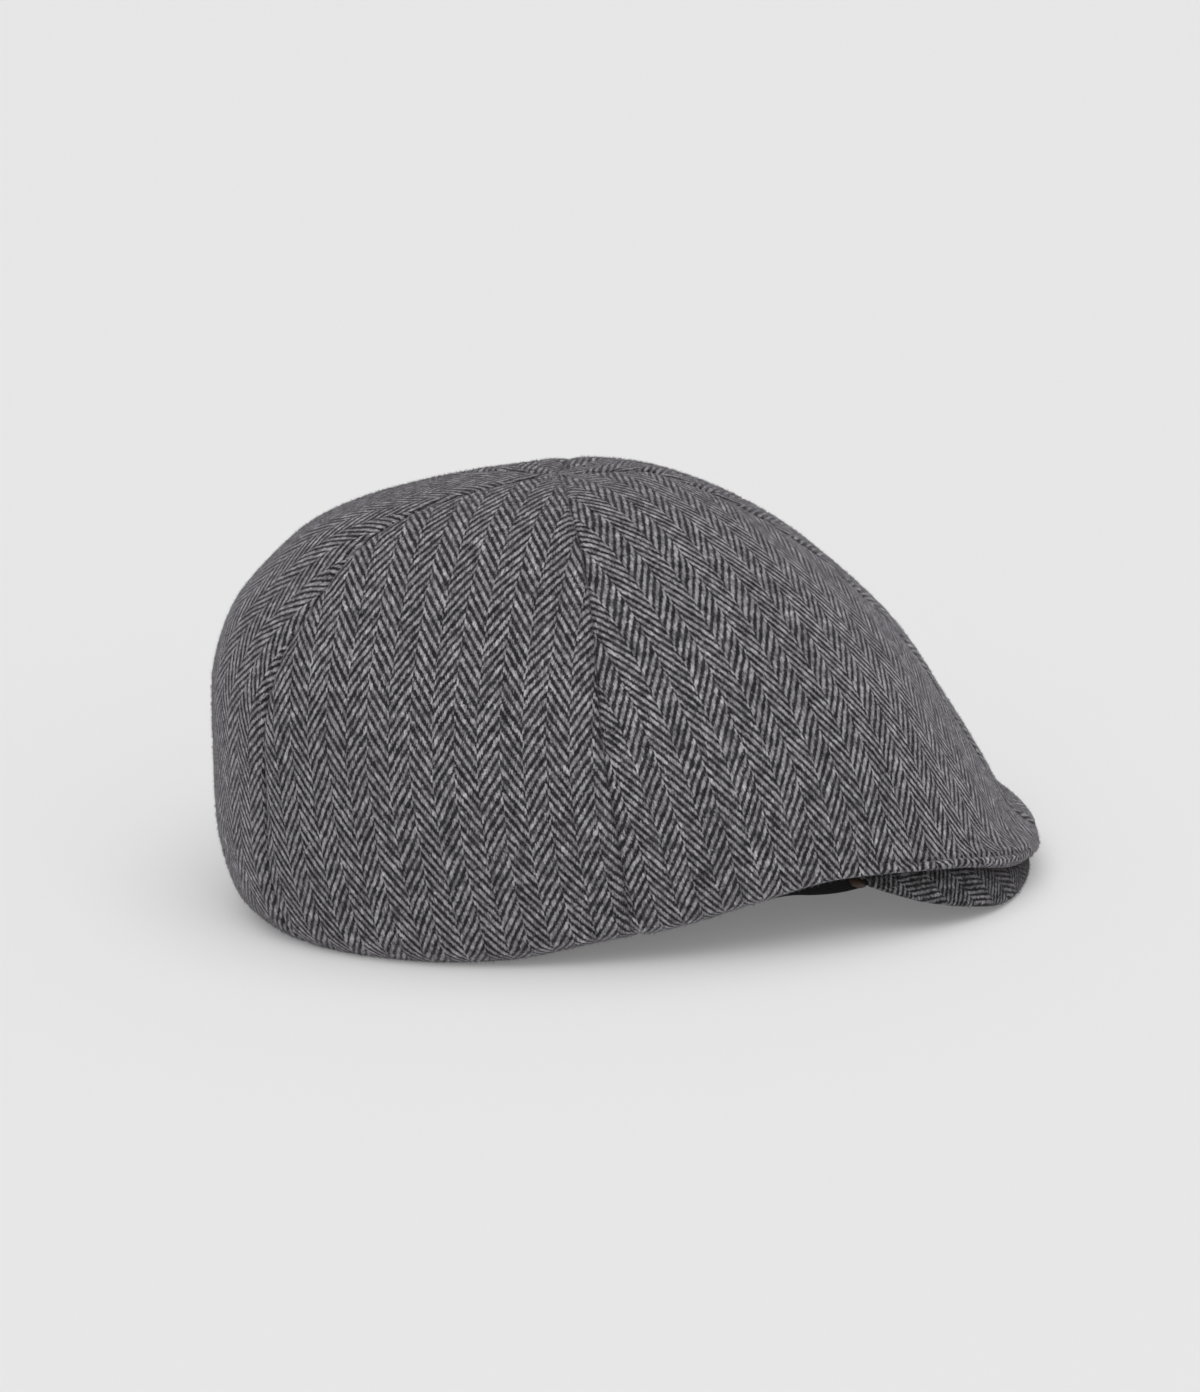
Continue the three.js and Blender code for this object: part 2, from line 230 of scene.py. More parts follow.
# Crown: outer sizes in metres, measured from the apex, then one row for each ring from apex to rim.
# Reaches and heights are shares of those sizes; widest is a share of the front reach.
crown = {
    "apexHeight": 0.138,
    "frontReach": 0.151,
    "rearReach": 0.117,
    "halfWidth": 0.094,
    "archHeight": 0.0222,  # how high the rim rises beside the peak
    "tipRing": 0.02,  # where the panels' tips end, short of the apex
    "wall": 0.002,
    "edgeFullness": 0.93,  # how far the rim's two faces close in on each other
    "waveDepth": 0.00042,
    "waveLengths": (0.072, 0.058, 0.047, 0.039, 0.031, 0.026),
    "rimFade": 0.012,  # the cloth's waves die out this close to the rim
    "columns": ("front", "frontHigh", "rear", "rearHigh", "side", "sideHigh", "widest", "fullness", "arch"),
    "rings": (
        (0.000, 1.000, 0.000, 1.000, 0.000, 1.000, 0.000, 2.00, 0.00),
        (0.160, 0.998, 0.210, 0.992, 0.206, 0.994, 0.016, 2.00, 0.00),
        (0.320, 0.938, 0.455, 0.965, 0.414, 0.955, 0.033, 2.00, 0.00),
        (0.490, 0.819, 0.658, 0.914, 0.623, 0.862, 0.056, 2.00, 0.00),
        (0.630, 0.679, 0.797, 0.829, 0.798, 0.723, 0.068, 2.05, 0.00),
        (0.738, 0.531, 0.923, 0.708, 0.930, 0.572, 0.072, 2.10, 0.00),
        (0.810, 0.392, 0.980, 0.555, 0.993, 0.421, 0.086, 2.15, 0.05),
        (0.876, 0.256, 0.992, 0.400, 1.000, 0.290, 0.099, 2.15, 0.12),
        (0.934, 0.132, 1.000, 0.240, 0.976, 0.162, 0.107, 2.20, 0.33),
        (1.000, 0.045, 0.957, 0.064, 0.930, 0.036, 0.115, 2.30, 0.80),
        (0.966, 0.000, 0.876, 0.000, 0.867, 0.000, 0.132, 2.50, 1.00),
    ),
    "archAngles": (0, 22, 45, 64, 76, 90, 106, 118, 180),
    "archShares": (0.20, 0.45, 0.85, 1.00, 0.79, 0.38, 0.05, 0.00, 0.00),
}

lastRing = len(crown["rings"]) - 1
rimRow = dict(zip(crown["columns"], crown["rings"][-1]))
originShift = cadHigh.y - crown["rearReach"]  # the apex lies this far behind the frame's origin

ringCurves = {}
for column, values in zip(crown["columns"], np.array(crown["rings"]).T):
    ringCurves[column] = curveThrough(range(lastRing + 1), values)
archCurve = curveThrough(crown["archAngles"], crown["archShares"])


# Point of an oval by its front and rear reach, half width, widest place, fullness and height.
def ovalPoint(angle, front, rear, side, widest, fullness, height):
    cosine = np.cos(np.radians(angle))
    sine = np.sin(np.radians(angle))
    along = np.sign(cosine) * np.abs(cosine) ** (2 / fullness)
    across = np.sign(sine) * np.abs(sine) ** (2 / fullness)
    reach = np.where(cosine > 0, front - widest, rear + widest)
    return np.stack(np.broadcast_arrays(-side * across, originShift - widest - along * reach, height), -1)


def crownPoint(ring, angle):
    ring, angle = np.broadcast_arrays(np.asarray(ring, float), np.asarray(angle, float))
    row = {name: curve(ring) for name, curve in ringCurves.items()}
    cosine = np.cos(np.radians(angle))
    endHigh = np.where(cosine > 0, row["frontHigh"], row["rearHigh"])
    share = row["sideHigh"] + (endHigh - row["sideHigh"]) * cosine**2
    height = share * crown["apexHeight"] + row["arch"] * crown["archHeight"] * archCurve(foldAngle(angle))
    front = row["front"] * crown["frontReach"]
    rear = row["rear"] * crown["rearReach"]
    side = row["side"] * crown["halfWidth"]
    return ovalPoint(angle, front, rear, side, row["widest"] * crown["frontReach"], row["fullness"], height)


def crownNormal(ring, angle):
    ringStep = 0.02
    angleStep = 0.4
    low = np.maximum(ring - ringStep, ringStep)
    high = np.minimum(ring + ringStep, lastRing)
    down = crownPoint(high, angle) - crownPoint(low, angle)
    around = crownPoint(ring, angle + angleStep) - crownPoint(ring, angle - angleStep)
    return unit(np.cross(around, down))


# Slow seeded waves through the cloth, as a height for each point.
waveTurns = unit(rng.normal(size=(len(crown["waveLengths"]), 3)))
wavePhases = rng.uniform(0, 2 * math.pi, len(crown["waveLengths"]))


def clothWaves(points):
    longest = crown["waveLengths"][0]
    total = np.zeros(points.shape[:-1])
    for direction, phase, length in zip(waveTurns, wavePhases, crown["waveLengths"]):
        total += np.sin(points @ direction * 2 * math.pi / length + phase) * length / longest
    return total / 2


flattening = {
    "rounds": 60,
    "leastWeight": 0.02,
    "mostWeight": 50,
    "leastSquare": 1e-16,  # keeps slivers at a panel's tip from having no area
}


# Two triangles for each cell of a grid, by their corners' numbers.
def gridTriangles(rows, columns):
    index = np.arange(rows * columns).reshape(rows, columns)
    a = index[:-1, :-1].ravel()
    b = index[1:, :-1].ravel()
    c = index[1:, 1:].ravel()
    d = index[:-1, 1:].ravel()
    return np.concatenate([np.stack([a, b, c], 1), np.stack([a, c, d], 1)])


# Every triangle laid flat by itself: first corner at zero, first side along x.
def looseTriangles(points, corners):
    sideOne = points[corners[:, 1]] - points[corners[:, 0]]
    sideTwo = points[corners[:, 2]] - points[corners[:, 0]]
    length = np.linalg.norm(sideOne, axis=1)
    along = (sideOne * sideTwo).sum(1) / length
    loose = np.zeros((len(corners), 3, 2))
    loose[:, 1, 0] = length
    loose[:, 2, 0] = along
    loose[:, 2, 1] = np.sqrt(np.maximum((sideTwo**2).sum(1) - along**2, flattening["leastSquare"]))
    return loose


# Lays a grid of points flat with as little stretch as it can, and returns its flat places.
# Each round turns every loose triangle to suit the grid, then moves the grid to suit them all.
def flatten(points):
    rows, columns, _ = points.shape
    corners = gridTriangles(rows, columns)
    loose = looseTriangles(points.reshape(-1, 3), corners)
    weights = np.zeros((len(corners), 3))
    matrix = np.zeros((rows * columns, rows * columns))
    for k in range(3):
        i = corners[:, (k + 1) % 3]
        j = corners[:, (k + 2) % 3]
        one = loose[:, (k + 1) % 3] - loose[:, k]
        two = loose[:, (k + 2) % 3] - loose[:, k]
        area = np.abs(one[:, 0] * two[:, 1] - one[:, 1] * two[:, 0])
        weight = np.clip((one * two).sum(1) / area, flattening["leastWeight"], flattening["mostWeight"])
        weights[:, k] = weight
        np.add.at(matrix, (i, i), weight)
        np.add.at(matrix, (j, j), weight)
        np.add.at(matrix, (i, j), -weight)
        np.add.at(matrix, (j, i), -weight)
    matrix[0, 0] += 1.0  # holds one corner still
    solve = np.linalg.inv(matrix)

    # A first guess: rows as long as they are, hung on the middle column
    centre = columns // 2
    down = distanceAlong(points[:, centre])
    across = distanceAlong(points, axis=1)
    across -= across[:, centre : centre + 1]
    flat = np.stack([across, -np.repeat(down[:, None], columns, 1)], -1).reshape(-1, 2)
    for _ in range(flattening["rounds"]):
        cover = np.zeros((len(corners), 2, 2))
        for k in range(3):
            i = (k + 1) % 3
            j = (k + 2) % 3
            edge = flat[corners[:, i]] - flat[corners[:, j]]
            cover += weights[:, k, None, None] * np.einsum("ta,tb->tab", edge, loose[:, i] - loose[:, j])
        turn = np.arctan2(cover[:, 1, 0] - cover[:, 0, 1], cover[:, 0, 0] + cover[:, 1, 1])
        cosine = np.cos(turn)
        sine = np.sin(turn)
        spin = np.stack([np.stack([cosine, -sine], -1), np.stack([sine, cosine], -1)], -2)
        target = np.zeros_like(flat)
        for k in range(3):
            i = (k + 1) % 3
            j = (k + 2) % 3
            pull = weights[:, k, None] * np.einsum("tab,tb->ta", spin, loose[:, i] - loose[:, j])
            np.add.at(target, corners[:, i], pull)
            np.add.at(target, corners[:, j], -pull)
        flat = solve @ target
    return flat.reshape(rows, columns, 2)


# Lengths are millimetres on the cloth. A fineness is how fast a noise changes across and along a stripe,
# and a scale is how fast it changes for each metre.
wool = {
    "stripe": 7.5,  # half of the herringbone's repeat
    "pitch": 3.9,  # from one twill line to the next, along the stripe
    "slope": 1.42,  # how steeply the twill lines climb
    "end": 0.682,  # width of a warp yarn
    "pick": 0.975,  # width of a weft yarn
    "drift": 1.4,  # how far the stripes wander
    "driftScale": 90.0,
    "jitter": 0.9,  # how far single yarns wander
    "jitterScale": 800.0,
    "warpFineness": (2.6, 0.75),
    "weftFineness": (0.8, 2.2),
    "warpFray": 1.3,  # how much the fibres blur the twill lines
    "weftFray": 0.8,
    "slubFray": 0.9,
    "lineEdge": (0.36, 0.74),  # dark yarn below, light yarn above
    "lightTone": (2.2, -0.85),  # a yarn's contrast and its start
    "darkTone": (2.4, -0.75),
    "floatTone": 0.55,
    "lightYarn": (0.505, 0.490, 0.508, 1),
    "lightShade": (0.090, 0.087, 0.092, 1),
    "darkYarn": (0.040, 0.038, 0.043, 1),
    "darkShade": (0.003, 0.003, 0.004, 1),
    "heatherScale": 240.0,
    "heather": {"colour": (0.095, 0.092, 0.098, 1), "edge": (0.40, 0.75), "share": 0.35},
    "fleckFineness": (1.5, 0.7),
    "paleFleck": {"colour": (0.62, 0.61, 0.62, 1), "edge": (0.69, 0.78), "share": 0.6},
    "warmFleck": {"colour": (0.26, 0.19, 0.14, 1), "edge": (0.31, 0.22), "share": 0.5},
    "tone": 1.0,
    "blotch": 2.2,  # how strongly the wool's tone wanders
    "blotchSize": 0.0032,  # metres
    "darkest": 0.2,
    "rough": (0.80, 0.16),
    "sheen": 0.64,
    "sheenRough": 0.30,
    "sheenTint": (0.60, 0.575, 0.64, 1),
    "relief": 0.00025,  # metres
    "lightRelief": 0.5,  # the light yarn stands this much higher
    "fuzzScale": 2400.0,
    "fuzzRelief": 0.8,
}

# The peak is covered in the same wool, pulled tight, and its tone is lowered as painted shade
peakWool = {**wool, "pitch": 2.1, "slope": 0.77, "tone": 0.56, "sheen": 0.2, "darkest": 0.3}


# Herringbone: light warp along the stripes, dark weft across, and the twill turns at each stripe.
def herringboneFinish(name, cloth):
    finish = Finish(name)
    place = finish.place()
    across, along = finish.weave()
    drift = finish.swing(finish.noise(place, cloth["driftScale"]), cloth["drift"])
    jitter = finish.swing(finish.noise(place, cloth["jitterScale"]), cloth["jitter"])
    across = finish.calc("ADD", across, drift)
    along = finish.calc("ADD", finish.calc("ADD", along, drift), jitter)
    climb = finish.calc("PINGPONG", across, cloth["stripe"])
    stepped = finish.calc("SNAP", climb, cloth["end"])
    climb = finish.calc("MULTIPLY", finish.calc("ADD", climb, stepped), cloth["slope"] / 2)
    stripe = finish.calc("FLOOR", finish.calc("DIVIDE", across, cloth["stripe"]))
    parity = finish.calc("FLOORED_MODULO", stripe, 2.0)
    turns = finish.calc("DIVIDE", finish.calc("ADD", along, climb), cloth["pitch"])
    turns = finish.calc("MULTIPLY_ADD", parity, 0.5, turns)
    line = finish.calc("MULTIPLY", finish.calc("PINGPONG", turns, 0.5), 2.0)

    # Fibres lie along their own yarn and fray the twill lines
    warpPlace = finish.drawOut(across, along, cloth["warpFineness"])
    weftPlace = finish.drawOut(across, along, cloth["weftFineness"], layer=7.0)
    warpFibre = finish.noise(warpPlace, 1.0, detail=4.0, rough=0.7)
    weftFibre = finish.noise(weftPlace, 1.0, detail=4.0, rough=0.7)
    slub = finish.noise(place, 1 / cloth["blotchSize"], detail=3.0, rough=0.65)
    fray = finish.swing(warpFibre, cloth["warpFray"])
    fray = finish.calc("ADD", fray, finish.swing(weftFibre, cloth["weftFray"]))
    fray = finish.calc("ADD", fray, finish.swing(slub, cloth["slubFray"]))
    light = finish.soft(finish.calc("ADD", line, fray), *cloth["lineEdge"])

    # Every float of yarn has its own tone
    warpEnd = finish.calc("FLOOR", finish.calc("DIVIDE", across, cloth["end"]))
    floatPlace = finish.join(warpEnd, finish.calc("FLOOR", turns))
    floatTone = finish.node("ShaderNodeTexWhiteNoise", {"Vector": floatPlace}, noise_dimensions="3D")
    lightTone = finish.calc("MULTIPLY_ADD", warpFibre, *cloth["lightTone"])
    lightTone = finish.calc("MULTIPLY_ADD", floatTone, cloth["floatTone"], lightTone)
    darkTone = finish.calc("MULTIPLY_ADD", weftFibre, *cloth["darkTone"])
    lightColour = finish.mix(lightTone, cloth["lightShade"], cloth["lightYarn"])
    darkColour = finish.mix(darkTone, cloth["darkShade"], cloth["darkYarn"])
    colour = finish.mix(light, darkColour, lightColour)

    # Heather: cloudy patches, and stray coloured fibres
    patch = finish.noise(place, cloth["heatherScale"], detail=3.0, rough=0.6)
    colour = finish.fleck(patch, colour, cloth["heather"])
    stray = finish.noise(finish.drawOut(across, along, cloth["fleckFineness"], layer=3.0), 1.0, detail=1.0)
    colour = finish.fleck(stray, colour, cloth["paleFleck"])
    colour = finish.fleck(stray, colour, cloth["warmFleck"])

    # The wool's tone wanders at random from place to place; the shade attribute adds painted shade in seams
    # and creases, and on the peak a painted shadow and painted light
    blotch = cloth["blotch"] * cloth["tone"]
    wander = finish.calc("MULTIPLY_ADD", slub, blotch, cloth["tone"] - blotch / 2)
    wander = finish.calc("MAXIMUM", wander, cloth["darkest"] * cloth["tone"])
    wander = finish.calc("MULTIPLY", wander, finish.shade())
    dyedAndShaded = finish.node("ShaderNodeVectorMath", {0: colour, "Scale": wander}, operation="SCALE")

    # Relief: each yarn stands up as a rounded float, and fibres lie over it
    warpRound = finish.calc("PINGPONG", finish.calc("DIVIDE", across, cloth["end"]), 0.5)
    weftRound = finish.calc("PINGPONG", finish.calc("DIVIDE", along, cloth["pick"]), 0.5)
    rounded = finish.node("ShaderNodeMix", {0: light, 2: weftRound, 3: warpRound}, data_type="FLOAT")
    height = finish.calc("MULTIPLY_ADD", light, cloth["lightRelief"], rounded)
    fuzz = finish.noise(place, cloth["fuzzScale"], detail=3.0, rough=0.7)
    height = finish.calc("MULTIPLY_ADD", fuzz, cloth["fuzzRelief"], height)
    roughBase, roughSpread = cloth["rough"]
    finish.put(
        Base_Color=dyedAndShaded,
        Roughness=finish.calc("MULTIPLY_ADD", warpFibre, roughSpread, roughBase),
        Normal=finish.bump(height, cloth["relief"], 0.9),
        Sheen_Weight=cloth["sheen"],
        Sheen_Roughness=cloth["sheenRough"],
        Sheen_Tint=cloth["sheenTint"],
        Specular_IOR_Level=0.2,
    )
    return finish.material


nap = {
    "perPanel": 32000,
    "onPeak": 9000,
    "length": 0.0010,
    "longest": 0.0014,
    "spread": 0.4,  # how much the hairs differ in length
    "thickness": 0.00007,
    "thicknessSpread": (0.7, 1.3),
    "lift": (0.2, 1.8),  # from nearly lying to nearly upright
    "rootDepth": 0.0002,
    "dark": (0.022, 0.020, 0.025, 1),
    "light": (0.215, 0.202, 0.222, 1),
    "toneBase": 0.2,
    "toneRange": 0.6,
    "toneShape": (1.5, 1.7),
    "clump": 0.0024,  # hairs lie in clumps of like tone, about this wide
    "clumping": 0.9,
    "turns": (0.0, 2.094, 4.189),  # a needle's three root corners, round its length
    "corners": ((2, 1, 0), (0, 1, 3), (1, 2, 3), (2, 0, 3)),  # its faces, by root corners 0 to 2 and tip 3
}


def napFinish():
    finish = Finish("wool nap")
    colour = finish.mix(finish.shade(), nap["dark"], nap["light"])
    finish.put(Base_Color=colour, Roughness=0.9, Specular_IOR_Level=0.2)
    finish.put(Sheen_Weight=0.1, Sheen_Roughness=0.6)
    return finish.material


# Fine hairs standing off a grid of points, each a closed three-sided needle.
def napOver(name, outer, normals, count, material):
    one = outer[1:, 1:] - outer[:-1, :-1]
    two = outer[1:, :-1] - outer[:-1, 1:]
    area = np.linalg.norm(np.cross(one, two), axis=-1).ravel()
    cells = rng.choice(len(area), count, p=area / area.sum())
    row, column = np.divmod(cells, outer.shape[1] - 1)
    s, t = rng.random((2, count, 1))

    def blend(grid):
        top = grid[row, column] * (1 - s) + grid[row, column + 1] * s
        low = grid[row + 1, column] * (1 - s) + grid[row + 1, column + 1] * s
        return top * (1 - t) + low * t

    root = blend(outer)
    normal = unit(blend(normals))
    lean = unit(np.cross(normal, rng.normal(size=(count, 3))))
    lift = rng.uniform(*nap["lift"], (count, 1))
    along = unit(lean + normal * lift)
    length = nap["length"] * np.exp(rng.normal(0, nap["spread"], (count, 1)))
    length = np.minimum(length, nap["longest"])
    side = unit(np.cross(along, normal))
    up = np.cross(side, along)
    base = root - normal * nap["rootDepth"]
    width = nap["thickness"] * rng.uniform(*nap["thicknessSpread"], (count, 1))
    needle = []
    for turn in nap["turns"]:
        needle.append(base + (side * math.cos(turn) + up * math.sin(turn)) * width)
    needle.append(base + along * length)
    points = np.stack(needle, 1).reshape(-1, 3)
    restOnFloor(points)
    first = len(needle) * np.arange(count)[:, None, None]
    faces = (first + np.array(nap["corners"])[None]).reshape(-1, 3)
    clump = np.array([noise.noise(Vector(place) / nap["clump"]) for place in root])
    tone = rng.beta(*nap["toneShape"], count) * nap["toneRange"] + nap["toneBase"]
    shade = np.repeat(np.clip(tone + clump * nap["clumping"], 0, 1), len(needle))
    return addPiece(name, points, faces, material, shade=shade)


# Panels by the angles of their seams, 0 at the front and positive to the wearer's right.
# A left panel is the mirror image of its twin.
panels = (
    {"node": "panel_front_right", "seams": (0, 90), "lay": "front", "mirror": False},
    {"node": "panel_side_right", "seams": (90, 147), "lay": "side", "mirror": False},
    {"node": "panel_rear", "seams": (147, 213), "lay": "rear", "mirror": False},
    {"node": "panel_side_left", "seams": (90, 147), "lay": "side", "mirror": True},
    {"node": "panel_front_left", "seams": (0, 90), "lay": "front", "mirror": True},
)

# How the cloth is laid on each kind of panel, in millimetres on the flattened panel:
# stretch, shift, lean and bend place its stripes, turn and twist slant its weft.
layColumns = ("stretch", "shift", "lean", "bend", "turn", "twist")
lays = {
    "front": (1.13, 18.0, -0.140, -0.00033, -0.166, 0.00076),
    "side": (1.053, -21.1, 0.012, -0.00049, 0.045, -0.00073),
    "rear": (1.05, 0.0, 0.0, 0.0, 0.0, 0.0),
}

sewing = {
    "sink": 0.0011,  # how deep the seams pull in
    "round": 0.0032,  # how far from the seam the cloth starts to turn in
    "ridge": 0.00025,  # the turned-in allowance shows as a soft ridge beside the seam
    "ridgeWidth": 0.006,
    "tipFade": 0.009,  # the seams level out this close to the apex
    "puckerDepth": 0.00016,
    "puckerLength": 0.0085,
    "puckerReach": 0.007,
    "puckerWander": 3,
    "puckerStretch": 0.7,
    "tackAngle": 55,  # within this angle of the front the edge is tacked down to the peak
    "tackFade": 9,
    "tackPlace": 0.0078,  # the stitched line's distance from the rim
    "tackWidth": 0.0010,
    "tackDepth": 0.0009,
    "rollHeight": 0.0003,  # the edge below the stitched line rolls out
    "shade": 0.28,  # painted shade: how much darker the wool is painted down in a seam or along the stitched line
    "shadeWidth": 0.0009,
    "insideShade": 0.9,
}

panelMesh = {
    "step": 0.0023,
    "edgeSteps": (0, 0.00016, 0.0005, 0.001, 0.0017, 0.0026, 0.0037, 0.005),  # columns beside a seam
    "hemSteps": (  # rows up from the rim, close together at the stitched line
        0, 0.00016, 0.0005, 0.001, 0.0018, 0.0028, 0.004, 0.0052, 0.0060, 0.0066, 0.0071,
        0.0075, 0.0079, 0.0083, 0.0088, 0.0094, 0.0102, 0.0114,
    ),
    "fineRings": 900,
    "fineAngles": 241,
    "widestRing": 7,
    "widestAngles": 200,
    "leastWidth": 1e-6,
    "flatTip": 0.1,  # the flattened panel starts at this ring
    "flatSteps": 25,
}


# Angles of a panel's columns on each ring, by their distance from the first seam.
def columnAngles(rings, seams, distances):
    fine = np.linspace(*seams, panelMesh["fineAngles"])
    lengths = distanceAlong(crownPoint(rings[:, None], fine[None, :]), axis=1)
    placed = distances(lengths[:, -1])
    return np.stack([np.interp(row, length, fine) for row, length in zip(placed, lengths)])


# The cloth's place at each point of a panel, across its stripes and along them.
def panelWeave(panel, rings, share):
    seams = panel["seams"]
    steps = panelMesh["flatSteps"]
    coarseRings = np.linspace(panelMesh["flatTip"], lastRing, steps)
    shares = np.linspace(0, 1, steps)
    coarseAngles = columnAngles(coarseRings, seams, lambda widths: widths[:, None] * shares[None, :])
    flat = flatten(crownPoint(coarseRings[:, None], coarseAngles)) / millimetre
    if seams[0] < 180 < seams[1]:
        flat[..., 0] -= flat[:, steps // 2, 0].mean()  # a stripe's edge runs down the middle of the back
    along = curveThrough(coarseRings, flat, level=False)(rings)
    weave = np.stack([curveThrough(shares, row, level=False)(s) for row, s in zip(along, share)])
    u = weave[..., 0]
    v = weave[..., 1]
    lay = dict(zip(layColumns, lays[panel["lay"]]))
    acrossStripes = lay["stretch"] * u - (lay["bend"] * v * v + lay["lean"] * v + lay["shift"])
    return np.stack([acrossStripes, v + (lay["turn"] + lay["twist"] * v) * u], -1)


# A panel's plain outer face as grids, with rows from its tip to the rim and columns from seam to seam.
def panelGrids(panel):
    seams = panel["seams"]
    fineRings = np.linspace(crown["tipRing"], lastRing, panelMesh["fineRings"])
    down = distanceAlong(crownPoint(fineRings, (seams[0] + seams[1]) / 2))
    edge = np.array(panelMesh["edgeSteps"])
    hem = np.array(panelMesh["hemSteps"])
    hemTop = down[-1] - hem[-1]
    above = np.linspace(0, hemTop, int(hemTop / panelMesh["step"]))
    rings = np.interp(np.concatenate([above, down[-1] - hem[-2::-1]]), down, fineRings)
    around = crownPoint(panelMesh["widestRing"], np.linspace(*seams, panelMesh["widestAngles"]))
    columns = int((distanceAlong(around)[-1] - 2 * edge[-1]) / panelMesh["step"])
    angles = columnAngles(rings, seams, lambda widths: clusteredPlaces(widths, edge, columns))
    points = crownPoint(rings[:, None], angles)
    across = distanceAlong(points, axis=1)
    width = np.maximum(across[:, -1:], panelMesh["leastWidth"])
    fromTip = distanceAlong(points)
    return {
        "points": points,
        "normals": crownNormal(rings[:, None] + 0 * angles, angles),
        "angles": angles,
        "seam": np.minimum(across, width - across),
        "fromTip": fromTip,
        "rim": fromTip[-1:] - fromTip,
        "weave": panelWeave(panel, rings, across / width),
    }


# The waves of a panel's cloth, its outer face's whole relief, and its painted shade in the seams and along
# the stitched line.
def panelRelief(grids):
    points = grids["points"]
    seam = grids["seam"]
    rim = grids["rim"]
    fadeTip = np.clip(grids["fromTip"] / sewing["tipFade"], 0, 1)
    fadeRim = np.clip(rim / crown["rimFade"], 0, 1)
    waves = crown["waveDepth"] * clothWaves(points) * fadeRim
    sink = roundIn(seam, sewing["round"], sewing["sink"]) * fadeTip
    near = seam / sewing["ridgeWidth"]
    ridge = sewing["ridge"] * near**2 * np.exp(2 - 2 * near) * fadeTip * fadeRim
    wander = sewing["puckerWander"] * clothWaves(points * sewing["puckerStretch"])
    pucker = np.sin(grids["fromTip"] * 2 * math.pi / sewing["puckerLength"] + wander)
    pucker *= sewing["puckerDepth"] * np.exp(-seam / sewing["puckerReach"]) * fadeTip * fadeRim
    tacked = np.clip((sewing["tackAngle"] - foldAngle(grids["angles"])) / sewing["tackFade"], 0, 1)
    stitched = np.exp(-(((rim - sewing["tackPlace"]) / sewing["tackWidth"]) ** 2))
    rolled = np.sin(np.pi * np.clip(rim / sewing["tackPlace"], 0, 1))
    tack = tacked * (sewing["rollHeight"] * rolled - sewing["tackDepth"] * stitched)
    # Painted shade: darker down in the seams and along the stitched crease over the peak
    dark = np.exp(-((seam / sewing["shadeWidth"]) ** 2)) * fadeTip + tacked * stitched
    return waves, waves + ridge + pucker + tack - sink, 1 - sewing["shade"] * np.clip(dark, 0, 1)


def buildPanel(panel, material, hair):
    grids = panelGrids(panel)
    if panel["mirror"]:
        grids = {name: grid[:, ::-1].copy() for name, grid in grids.items()}
        grids["points"][..., 0] *= -1
        grids["normals"][..., 0] *= -1
    waves, relief, shade = panelRelief(grids)
    half = crown["wall"] / 2
    close = roundIn(grids["rim"], half, half * crown["edgeFullness"])
    outer = grids["points"] + grids["normals"] * (relief - close)[..., None]
    inner = grids["points"] + grids["normals"] * (waves + close - crown["wall"])[..., None]
    restOnFloor(outer)
    restOnFloor(inner)
    body, faces = closedGrid(outer, inner)
    weave = np.concatenate([grids["weave"].reshape(-1, 2)] * 2)
    shade = np.concatenate([shade.ravel(), np.full(shade.size, sewing["insideShade"])])
    node = panel["node"]
    piece = addPiece(node + "_cloth", body, faces, material, weave, shade)
    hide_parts(panel["node"])
    napOver(node + "_nap", outer, grids["normals"], nap["perPanel"], hair)
    print("panel", node, len(faces), "faces")


hairMaterial = napFinish()
woolMaterial = herringboneFinish("herringbone wool", wool)
for panel in panels:
    buildPanel(panel, woolMaterial, hairMaterial)


# Peak: its lip's height and reach are shares of the named sizes at each angle from the front.
peak = {
    "thickness": 0.004,
    "cornerThinning": 0.0008,
    "thinningPower": 4,
    "cornerAngle": 60,
    "innerReach": 0.120,
    "innerHeight": 0.0225,
    "cornerWidth": 0.004,
    "cornerEase": 0.6,
    "lipOut": 0.0032,
    "lipHeight": 0.0183,
    "seatGap": 0.0004,  # between the peak and the crown's edge on it
    "middleAlong": 0.55,  # place and height of the bend between its inner edge and its seat
    "middleHigh": 0.42,
    "lipAngles": (0, 15, 28, 38, 48, 55, 60),
    "lipHigh": (0.08, 0.05, 0.08, 0.27, 0.55, 0.80, 1.00),
    "lipReach": (0.30, 0.60, 1.10, 1.30, 1.20, 0.80, 0.40),
    "edgeFullness": 0.95,
    "stripeShift": 2.0,  # millimetres from the centre line to the nearest stripe edge
    "paintedTuckShadow": 0.50,  # painted shadow: the wool is painted this dark where it goes under the crown's edge
    "paintedLipLight": 1.22,  # painted light: the wool is painted this light at the lip
    "shadeReach": 0.011,
    "sections": 161,
    "step": 0.0011,
    "edgeSteps": (0.0, 0.0001, 0.0004, 0.0009, 0.0015, 0.002),
    "fineSteps": 200,
    "flatRows": 17,
    "flatColumns": 41,
}

lipHighCurve = curveThrough(peak["lipAngles"], peak["lipHigh"])
lipReachCurve = curveThrough(peak["lipAngles"], peak["lipReach"])
controlPlaces = (0, 1, 2, 3)  # inner edge, middle, seat under the crown, lip


